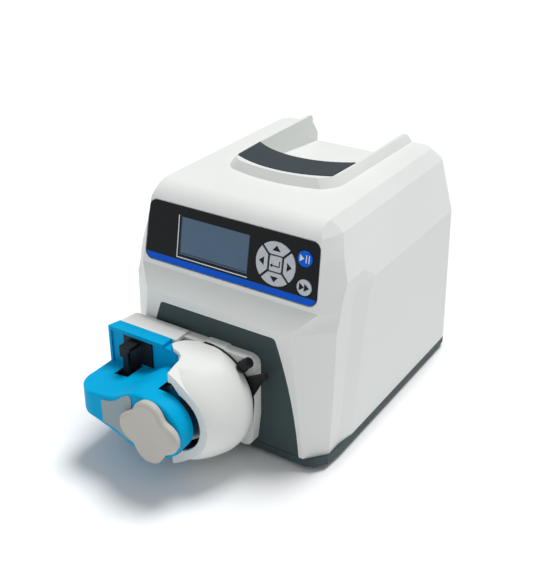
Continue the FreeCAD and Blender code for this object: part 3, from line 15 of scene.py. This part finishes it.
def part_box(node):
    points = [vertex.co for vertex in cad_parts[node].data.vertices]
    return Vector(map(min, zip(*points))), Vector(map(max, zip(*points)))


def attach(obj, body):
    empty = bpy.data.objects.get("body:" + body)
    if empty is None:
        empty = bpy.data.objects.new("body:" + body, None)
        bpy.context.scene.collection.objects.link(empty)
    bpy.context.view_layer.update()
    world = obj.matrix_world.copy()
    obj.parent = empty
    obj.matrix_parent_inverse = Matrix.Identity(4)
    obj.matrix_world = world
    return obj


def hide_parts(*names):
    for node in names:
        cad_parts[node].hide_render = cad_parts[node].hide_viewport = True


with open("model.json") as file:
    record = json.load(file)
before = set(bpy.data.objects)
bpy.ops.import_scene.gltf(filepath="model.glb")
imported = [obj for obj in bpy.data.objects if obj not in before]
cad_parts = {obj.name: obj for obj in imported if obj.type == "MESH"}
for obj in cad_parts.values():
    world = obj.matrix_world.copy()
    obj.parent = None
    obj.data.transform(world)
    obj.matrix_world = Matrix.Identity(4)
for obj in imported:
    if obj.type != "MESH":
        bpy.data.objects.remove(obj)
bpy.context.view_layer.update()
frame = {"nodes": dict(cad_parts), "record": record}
NODES = frame["nodes"]
MM = 0.001


# ---------------------------------------------------------------- materials

MOTTLE_DETAIL = 5.0             # octaves of the broad noise, which shifts colour and gloss
MOTTLE_BAND = (0.35, 0.65)      # part of the broad noise over which the two tints blend
GLOSS_SPREAD = 0.05             # how far the roughness strays to either side
GRAIN_DETAIL = 3.0              # octaves of the fine noise, which makes the bump
GRAIN_DEPTH = 0.0002            # metres


def new_material(name):
    material = bpy.data.materials.new(name)
    material.use_nodes = True
    tree = material.node_tree
    return material, tree.nodes, tree.links, tree.nodes["Principled BSDF"]


def moulded(name, colour, roughness, grain=0.05, grain_size=0.35, mottle=0.03, mottle_scale=14.0,
            metallic=0.0, specular=0.35):
    """Moulded or machined surface: a fine bump, and a little unevenness in colour and gloss.

    `grain` is the strength of the bump and `grain_size` its pitch in millimetres. `mottle` is
    the share by which the colour varies, and `mottle_scale` the scale of its patches per metre.
    """
    material, nodes, links, shader = new_material(name)
    shader.inputs["Metallic"].default_value = metallic
    shader.inputs["Specular IOR Level"].default_value = specular
    where = nodes.new("ShaderNodeTexCoord")
    broad = nodes.new("ShaderNodeTexNoise")
    broad.inputs["Scale"].default_value = mottle_scale
    broad.inputs["Detail"].default_value = MOTTLE_DETAIL
    links.new(where.outputs["Object"], broad.inputs["Vector"])
    tint = nodes.new("ShaderNodeValToRGB")
    dark, light = tint.color_ramp.elements
    dark.color = [c * (1 - mottle) for c in colour] + [1]
    light.color = [c * (1 + mottle) for c in colour] + [1]
    dark.position, light.position = MOTTLE_BAND
    links.new(broad.outputs["Fac"], tint.inputs["Fac"])
    links.new(tint.outputs["Color"], shader.inputs["Base Color"])
    gloss = nodes.new("ShaderNodeMapRange")
    gloss.inputs["To Min"].default_value = roughness - GLOSS_SPREAD
    gloss.inputs["To Max"].default_value = roughness + GLOSS_SPREAD
    links.new(broad.outputs["Fac"], gloss.inputs["Value"])
    links.new(gloss.outputs["Result"], shader.inputs["Roughness"])
    fine = nodes.new("ShaderNodeTexNoise")
    fine.inputs["Scale"].default_value = 1.0 / (grain_size * MM)
    fine.inputs["Detail"].default_value = GRAIN_DETAIL
    links.new(where.outputs["Object"], fine.inputs["Vector"])
    bump = nodes.new("ShaderNodeBump")
    bump.inputs["Strength"].default_value = grain
    bump.inputs["Distance"].default_value = GRAIN_DEPTH
    links.new(fine.outputs["Fac"], bump.inputs["Height"])
    links.new(bump.outputs["Normal"], shader.inputs["Normal"])
    return material


def brushed(name, colour, roughness, stretch=(1, 40, 1)):
    """Metal whose grain is drawn out into lines; `stretch` scales the grain along each axis."""
    material = moulded(name, colour, roughness, grain=0.12, grain_size=0.5, mottle=0.08,
                       metallic=1.0)
    nodes, links = material.node_tree.nodes, material.node_tree.links
    mapping = nodes.new("ShaderNodeMapping")
    mapping.inputs["Scale"].default_value = stretch
    source = next(node for node in nodes if node.type == "TEX_COORD")
    fine = [node for node in nodes if node.type == "TEX_NOISE"][-1]
    links.new(source.outputs["Object"], mapping.inputs["Vector"])
    links.new(mapping.outputs["Vector"], fine.inputs["Vector"])
    return material


WHITE = moulded("case_white", (0.775, 0.79, 0.765), 0.42, grain=0.06, grain_size=0.5,
                mottle=0.012)
SLATE = moulded("case_slate", (0.040, 0.062, 0.066), 0.5, grain=0.12, grain_size=0.5,
                mottle=0.05, specular=0.25)
INLAY = moulded("grip_inlay", (0.040, 0.052, 0.060), 0.62, grain=0.25, grain_size=0.6,
                mottle=0.08, specular=0.2)
MEMBRANE = moulded("membrane_black", (0.009, 0.010, 0.012), 0.35, grain=0.03, grain_size=0.4,
                   mottle=0.1, specular=0.12)
LCD = moulded("display_blue_grey", (0.095, 0.150, 0.225), 0.28, grain=0.01, mottle=0.05,
              specular=0.12)
# painted shade: a darker copy of the display colour for bands along the glass's edges, standing in
# for the shade that the window's recess casts
LCD_PAINTED_SHADE = moulded("display_painted_shade", (0.045, 0.072, 0.110), 0.3, grain=0.01, mottle=0.05,
                   specular=0.12)
SILVER = moulded("key_silver", (0.50, 0.53, 0.56), 0.38, grain=0.10, grain_size=0.3,
                 mottle=0.13, mottle_scale=1500.0, metallic=0.1)
KEY_BLUE = moulded("key_blue", (0.0, 0.115, 0.66), 0.38, specular=0.1)
BLACK = moulded("black_plastic", (0.008, 0.008, 0.010), 0.42, grain=0.08, grain_size=0.4,
                mottle=0.1, specular=0.2)
RUBBER = moulded("foot_rubber", (0.02, 0.02, 0.021), 0.75, grain=0.2, grain_size=0.6, mottle=0.1)
HEAD_WHITE = moulded("head_white", (0.77, 0.78, 0.75), 0.45, grain=0.10, grain_size=0.6,
                     mottle=0.015)
HEAD_BLUE = moulded("head_blue", (0.0, 0.365, 0.66), 0.5, grain=0.10, grain_size=0.6,
                    specular=0.05)
LABEL = moulded("label_grey", (0.27, 0.34, 0.37), 0.5, grain=0.03)
KNOB = moulded("knob_beige", (0.50, 0.475, 0.435), 0.45, grain=0.08, grain_size=0.5, mottle=0.02)
STEEL = brushed("ground_steel", (0.55, 0.55, 0.57), 0.28)
ALUMINIUM = brushed("rear_aluminium", (0.60, 0.61, 0.63), 0.4, stretch=(30, 1, 1))
BOARD = moulded("circuit_board", (0.015, 0.13, 0.06), 0.4, mottle=0.1)
NYLON = moulded("gear_nylon", (0.75, 0.73, 0.65), 0.5)
BRONZE = brushed("bush_bronze", (0.50, 0.32, 0.13), 0.4)
STRIPE = moulded("stripe_blue", (0.0, 0.095, 0.62), 0.4, grain=0.03, grain_size=0.4,
                 specular=0.1)
PRINT_WHITE = moulded("print_white", (0.72, 0.73, 0.74), 0.45, grain=0.02, mottle=0.02)
MOTOR = moulded("motor_black", (0.03, 0.03, 0.033), 0.4, grain=0.1, mottle=0.05)

SLOT_LOOK = {
    "case_white": WHITE,
    "case_slate": SLATE,
    "grip_inlay": INLAY,
    "foot_rubber": RUBBER,
    "black_plastic": BLACK,
    "panel_membrane": MEMBRANE,
    "display_glass": LCD,
    "display_black": BLACK,
    "key_silver": SILVER,
    "key_blue": KEY_BLUE,
    "circuit_board": BOARD,
    "power_board": BOARD,
    "rear_metal": ALUMINIUM,
    "screw_steel": STEEL,
    "bracket_steel": STEEL,
    "motor_steel": MOTOR,
    "gear_steel": STEEL,
    "gear_nylon": NYLON,
    "bronze": BRONZE,
    "head_white": HEAD_WHITE,
    "head_blue": HEAD_BLUE,
    "head_black": BLACK,
    "label_grey": LABEL,
    "knob_beige": KNOB,
    "rotor_metal": STEEL,
    "roller_metal": STEEL,
}
SLOT_OF = {row["node"]: row["material_slot"] for row in frame["record"]["subparts"]}
BODY_OF = {node: body for body, names in frame["record"]["behaviour"]["bodies"].items()
           for node in names}


def paint(item, material):
    item.data.materials.clear()
    item.data.materials.append(material)


for node, item in NODES.items():
    paint(item, SLOT_LOOK[SLOT_OF[node]])


# ---------------------------------------------------------------- pieces made from CAD nodes

MERGE_DISTANCE = 0.002          # mm between points that become one
FLAT_ANGLE = 0.6                # degrees between triangles that become one face
SHARP_ANGLE = 28                # degrees from which an edge is rounded
AREA_WEIGHT = 60                # above 50, so that large faces hold the normals at their edges

# Widths of the rounding in millimetres.
HEAD_EDGES = {"head_body": 0.7, "head_frame": 0.7, "head_mounting_plate": 1.0,
              "occlusion_shell": 0.9, "occlusion_bed": 0.3, "occlusion_lever": 0.35,
              "lever_plunger": 0.4, "tube_guides": 0.12, "upper_tube_retainer": 0.5,
              "lower_tube_retainer": 0.5, "knob": 0.6, "head_label_plate": 0.15}
CASE_EDGES = {"front_panel": 0.5, "base_tray": 0.8, "rear_panel": 0.3, "top_grip_pad": 0.4,
              "rubber_feet": 0.8, "power_inlet": 0.5, "fuse_drawer": 0.4,
              "power_switch_frame": 0.5, "power_rocker": 0.6, "remote_socket": 0.4,
              "keypad_overlay": 0.1}
KEY_NODES = ("key_up", "key_down", "key_left", "key_right", "key_enter", "key_start_stop",
             "key_fast_forward")
KEY_EDGE = 0.35
HOUSING_EDGE = 2.6

# Edges of the case that get less than the full width.
SMOOTH_ANGLE = 6                # degrees; a flatter edge belongs to a smooth surface
ACROSS = 0.99                   # least share of X in the direction of an edge that runs across
REAR_CORNER_X, REAR_CORNER_Y = 0.075, 0.135
OPENING_NODES = ("keypad_overlay", "front_panel", "rear_panel")
OPENING_MARGIN = 4              # mm around the nodes that close the openings
RIM_SHARE = 0.2


def place(bm, name, material, body, node=None):
    """Turns a bmesh into a piece that rides on a body and, if a node is named, stands for it."""
    mesh = bpy.data.meshes.new(name)
    bm.to_mesh(mesh)
    bm.free()
    mesh.polygons.foreach_set("use_smooth", [True] * len(mesh.polygons))
    item = bpy.data.objects.new(name, mesh)
    bpy.context.scene.collection.objects.link(item)
    paint(item, material)
    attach(item, body)
    if node:
        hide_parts(node)
    return item


def merged(node):
    """The node's mesh with its triangles merged back into flat faces."""
    bm = bmesh.new()
    bm.from_mesh(NODES[node].data)
    bmesh.ops.remove_doubles(bm, verts=bm.verts, dist=MERGE_DISTANCE * MM)
    bmesh.ops.dissolve_degenerate(bm, edges=bm.edges, dist=MERGE_DISTANCE * MM)
    bmesh.ops.dissolve_limit(bm, angle_limit=math.radians(FLAT_ANGLE), verts=bm.verts,
                             edges=bm.edges)
    return bm


def sharp_weight(edge, angle):
    """Every sharp edge gets the full width."""
    return 1.0 if angle > SHARP_ANGLE else 0.0


def near_opening(point):
    margin = OPENING_MARGIN * MM
    for name in OPENING_NODES:
        low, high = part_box(name)
        if all(low[i] - margin < point[i] < high[i] + margin for i in range(3)):
            return True
    return False


def housing_weight(edge, angle):
    """Edges of the case are soft, even blunt ones, and the rims of its openings nearly crisp.

    Blunt edges keep their shape where they run across the case or lie in its rear corners.
    """
    middle = (edge.verts[0].co + edge.verts[1].co) / 2
    along = (edge.verts[1].co - edge.verts[0].co).normalized()
    blunt = angle < SHARP_ANGLE
    if angle < SMOOTH_ANGLE or (blunt and abs(along.x) > ACROSS):
        return 0.0
    if blunt and middle.y > REAR_CORNER_Y and abs(middle.x) > REAR_CORNER_X:
        return 0.0
    if near_opening(middle):
        return RIM_SHARE if angle > SHARP_ANGLE else 0.0
    return 1.0


def rounded(node, width, segments=3, weight=sharp_weight):
    """A copy of a node with rounded edges; `weight` gives each edge its share of the width."""
    bm = merged(node)
    layer = bm.edges.layers.float.new("bevel_weight_edge")
    for edge in bm.edges:
        if len(edge.link_faces) == 2:
            edge[layer] = weight(edge, math.degrees(edge.calc_face_angle(0.0)))
    slot = SLOT_OF[node]
    item = place(bm, node + "_finish", SLOT_LOOK[slot], BODY_OF[node], node)
    bevel = item.modifiers.new("rounding", "BEVEL")
    bevel.limit_method = "WEIGHT"
    bevel.width, bevel.segments = width * MM, segments
    bevel.use_clamp_overlap = True
    bevel.harden_normals = False
    normals = item.modifiers.new("even_normals", "WEIGHTED_NORMAL")
    normals.keep_sharp = False
    normals.weight = AREA_WEIGHT


rounded("housing_shell", HOUSING_EDGE, segments=4, weight=housing_weight)
for node, width in {**HEAD_EDGES, **CASE_EDGES}.items():
    rounded(node, width)
for node in KEY_NODES:
    rounded(node, KEY_EDGE)


# ---------------------------------------------------------------- print and painted shade on the control panel

# Millimetres in the panel plane: u across, v up the panel, and levels out of it.
PANEL_TILT = math.radians(10)
OVERLAY_FOOT = -0.5             # v of the membrane's foot
OVERLAY_PROUD = 0.1             # level of the membrane's face
OVERLAY_DEPTH = 0.8             # depth of its back below the plane
KEY_PROUD = 0.7                 # level of the keys' faces
LAYER_THICK = 0.06

RING_ARROWS = {"key_right": 0, "key_up": 90, "key_left": 180, "key_down": 270}
RING_RADIUS = 12.1
RING_ARROW_REACH, RING_ARROW_HALF = 4.6, 3.7

# Parts of the symbols, from the middle of their key. A bar is u, v, half width and half height;
# an arrow is u, v, reach, half width and the direction of its tip in degrees.
RETURN_BARS = ((3.8, 0.4, 0.45, 2.4), (0.6, -1.8, 3.6, 0.45))
RETURN_ARROWS = ((-3.4, -1.8, 2.6, 1.7, 180),)
PLAY_ARROWS = ((-3.2, 0, 4.0, 2.9, 0),)
PAUSE_BARS = ((1.3, 0, 0.45, 3.2), (3.7, 0, 0.45, 3.2))
FORWARD_ARROWS = ((-3.0, 0, 4.6, 3.3, 0), (1.6, 0, 4.6, 3.3, 0))

STRIPE_INSET, STRIPE_RISE = 0.5, 0.4    # from the membrane's sides and from its foot
STRIPE_TOP = 5.6
STRIPE_CORNER, CORNER_STEPS = 6.6, 8

RULE_BELOW, RULE_ABOVE = 19.0, 17.2     # from the middle of the display
RULE_LEFT = 2.4                         # from the display's left side
RULE_HALF = 0.45                        # half the width of the line

GLASS_LOW, GLASS_HIGH = 0.9, 0.5        # from the foot and head of the window's box
# sets the width of the painted shade bands along the glass's edges
GLASS_SHADE_WIDTH = 0.55


def panel_matrix():
    """Panel plane in the CAD frame: X across, Y up the panel, Z out of it, origin at its foot."""
    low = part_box("keypad_overlay")[0]
    up = Vector((0, math.sin(PANEL_TILT), math.cos(PANEL_TILT)))
    out = Vector((0, -math.cos(PANEL_TILT), math.sin(PANEL_TILT)))
    foot_y = low.y - (OVERLAY_FOOT * up.y + OVERLAY_PROUD * out.y) * MM
    foot_z = low.z - (OVERLAY_FOOT * up.z - OVERLAY_DEPTH * out.z) * MM
    return Matrix(((1, 0, 0, 0), (0, up.y, out.y, foot_y), (0, up.z, out.z, foot_z), (0, 0, 0, 1)))


PANEL = panel_matrix()


def to_panel(point):
    """A point of the CAD frame in the panel plane, in millimetres."""
    return (PANEL.inverted() @ point) / MM


def on_panel(node):
    """Where the middle of a node is in the panel plane, in millimetres."""
    low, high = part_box(node)
    return to_panel((low + high) / 2)


def ink_and_shade_layer(name, shapes, level, material, body):
    """Ink, and the painted shade at the display's glass, on the panel: flat polygons, in panel
    millimetres, with the thickness of a printed layer.
    """
    bm = bmesh.new()
    for points in shapes:
        low = [bm.verts.new((u * MM, v * MM, level * MM)) for u, v in points]
        high = [bm.verts.new((u * MM, v * MM, (level + LAYER_THICK) * MM)) for u, v in points]
        bm.faces.new(reversed(low))
        bm.faces.new(high)
        for i in range(len(points)):
            j = (i + 1) % len(points)
            bm.faces.new((low[i], low[j], high[j], high[i]))
    bm.transform(PANEL)
    item = place(bm, name, material, body)
    item.data.polygons.foreach_set("use_smooth", [False] * len(item.data.polygons))


def bar(u, v, half_u, half_v):
    """Rectangle around the point u, v."""
    return [(u - half_u, v - half_v), (u + half_u, v - half_v),
            (u + half_u, v + half_v), (u - half_u, v + half_v)]


def arrow(u, v, reach, half, turn):
    """Triangle whose tip points along `turn` degrees; `reach` is its length."""
    angle = math.radians(turn)
    points = []
    for along, across in ((-reach / 3, -half), (2 * reach / 3, 0), (-reach / 3, half)):
        points.append((u + along * math.cos(angle) - across * math.sin(angle),
                       v + along * math.sin(angle) + across * math.cos(angle)))
    return points


def symbol(middle, draw, rows):
    """Bars or arrows of one key, placed from its middle."""
    return [draw(middle.x + u, middle.y + v, *size) for u, v, *size in rows]


def print_keys():
    """Arrows on the ring of keys, return, play with pause, and fast forward."""
    ring = (on_panel("key_left") + on_panel("key_right")) / 2
    for node, turn in RING_ARROWS.items():
        angle = math.radians(turn)
        u, v = ring.x + RING_RADIUS * math.cos(angle), ring.y + RING_RADIUS * math.sin(angle)
        shapes = [arrow(u, v, RING_ARROW_REACH, RING_ARROW_HALF, turn)]
        ink_and_shade_layer(node + "_arrow", shapes, KEY_PROUD, MEMBRANE, node)
    shapes = symbol(ring, bar, RETURN_BARS) + symbol(ring, arrow, RETURN_ARROWS)
    ink_and_shade_layer("key_enter_arrow", shapes, KEY_PROUD, MEMBRANE, "key_enter")
    start = on_panel("key_start_stop")
    shapes = symbol(start, arrow, PLAY_ARROWS) + symbol(start, bar, PAUSE_BARS)
    ink_and_shade_layer("key_start_stop_symbol", shapes, KEY_PROUD, PRINT_WHITE, "key_start_stop")
    shapes = symbol(on_panel("key_fast_forward"), arrow, FORWARD_ARROWS)
    ink_and_shade_layer("key_fast_forward_symbol", shapes, KEY_PROUD, MEMBRANE, "key_fast_forward")


def print_stripe():
    """Blue stripe along the membrane's foot, which follows its two rounded corners."""
    low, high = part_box("keypad_overlay")
    half = (high.x - low.x) / 2 / MM
    outline = [(half - STRIPE_INSET, STRIPE_TOP), (-half + STRIPE_INSET, STRIPE_TOP)]
    for side in (-1, 1):
        arc = []
        for step in range(CORNER_STEPS + 1):
            angle = math.radians(90 * step / CORNER_STEPS)
            u = half - STRIPE_INSET - STRIPE_CORNER + STRIPE_CORNER * math.cos(angle)
            v = OVERLAY_FOOT + STRIPE_RISE + STRIPE_CORNER - STRIPE_CORNER * math.sin(angle)
            if v < STRIPE_TOP:
                arc.append((side * u, v))
        outline += arc if side < 0 else arc[::-1]
    ink_and_shade_layer("membrane_stripe", [outline], OVERLAY_PROUD, STRIPE, "drive")


def print_and_shade_display():
    """Pale line at the left and foot of the display, and painted shade of the window's recess
    along the left, right and foot of its glass.
    """
    low, high = [to_panel(corner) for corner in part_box("display_window")]
    left, right = low.x, high.x
    middle = on_panel("display_window").y
    foot, head = middle - RULE_BELOW, middle + RULE_ABOVE
    rule = left - RULE_LEFT
    shapes = [bar(rule, (foot + head) / 2, RULE_HALF, (head - foot) / 2),
              bar((rule + right) / 2, foot, (right - rule) / 2 + RULE_HALF, RULE_HALF)]
    ink_and_shade_layer("display_rule", shapes, OVERLAY_PROUD, PRINT_WHITE, "drive")
    # painted shade: darker bands along the left, right and foot of the glass stand in for the
    # shade of the window's recess
    foot, head = low.y + GLASS_LOW, high.y - GLASS_HIGH
    shapes = [bar(left + GLASS_SHADE_WIDTH, (foot + head) / 2, GLASS_SHADE_WIDTH, (head - foot) / 2),
              bar(right - GLASS_SHADE_WIDTH / 2, (foot + head) / 2, GLASS_SHADE_WIDTH / 2, (head - foot) / 2),
              bar((left + right) / 2, foot + GLASS_SHADE_WIDTH, (right - left) / 2 - 2 * GLASS_SHADE_WIDTH,
                  GLASS_SHADE_WIDTH)]
    ink_and_shade_layer("display_painted_shade", shapes, OVERLAY_PROUD, LCD_PAINTED_SHADE, "drive")


print_keys()
print_stripe()
print_and_shade_display()


# ---------------------------------------------------------------- floor, lights and camera

CAMERA_TARGET = Vector((-0.0065, 0.0032, 0.1040))
CAMERA_DISTANCE = 0.85
CAMERA_AZIMUTH, CAMERA_ELEVATION = 32.84, 28.39
CAMERA_LENS, SENSOR_WIDTH = 59.1, 36
CLIP_START, CLIP_END = 0.01, 50

SKY_COLOUR, SKY_STRENGTH = (0.95, 0.98, 1.0, 1), 0.38
FLOOR_COLOUR, FLOOR_SIZE = (0.94, 0.945, 0.95), 30
# Azimuth, elevation, strength and softness of each lamp.
SUNS = {"key_light": (166, 69, 2.50, 24), "front_fill": (-30, 30, 0.30, 70)}


def direction(azimuth, elevation):
    """Unit vector from the object towards a viewer or a lamp; azimuth 0 is the front."""
    turn, rise = math.radians(azimuth), math.radians(elevation)
    return Vector((math.sin(turn) * math.cos(rise), -math.cos(turn) * math.cos(rise),
                   math.sin(rise)))


def make_camera():
    data = bpy.data.cameras.new("camera")
    data.lens, data.sensor_width = CAMERA_LENS, SENSOR_WIDTH
    data.clip_start, data.clip_end = CLIP_START, CLIP_END
    camera = bpy.data.objects.new("camera", data)
    back = direction(CAMERA_AZIMUTH, CAMERA_ELEVATION)
    camera.location = CAMERA_TARGET + back * CAMERA_DISTANCE
    camera.rotation_euler = (-back).to_track_quat("-Z", "Y").to_euler()
    bpy.context.scene.collection.objects.link(camera)
    bpy.context.scene.camera = camera


def make_sun(name, azimuth, elevation, strength, softness):
    """Even light from one direction; `softness` is the width of the source in degrees."""
    data = bpy.data.lights.new(name, "SUN")
    data.energy, data.angle = strength, math.radians(softness)
    lamp = bpy.data.objects.new(name, data)
    lamp.rotation_euler = (-direction(azimuth, elevation)).to_track_quat("-Z", "Y").to_euler()
    bpy.context.scene.collection.objects.link(lamp)


def make_studio():
    """Plain pale floor under an even sky, a soft sun from above and behind, and a weak fill."""
    scene = bpy.context.scene
    scene.view_settings.view_transform = "Standard"
    world = bpy.data.worlds.new("studio")
    world.use_nodes = True
    background = world.node_tree.nodes["Background"]
    background.inputs["Color"].default_value = SKY_COLOUR
    background.inputs["Strength"].default_value = SKY_STRENGTH
    scene.world = world
    bpy.ops.mesh.primitive_plane_add(size=FLOOR_SIZE, location=(0, 0, 0))
    floor = bpy.context.object
    floor.name = "studio_floor"
    paint(floor, moulded("floor_paper", FLOOR_COLOUR, 0.85, grain=0.02, grain_size=2,
                         mottle=0.003, specular=0.1))
    for name, values in SUNS.items():
        make_sun(name, *values)


make_camera()
make_studio()
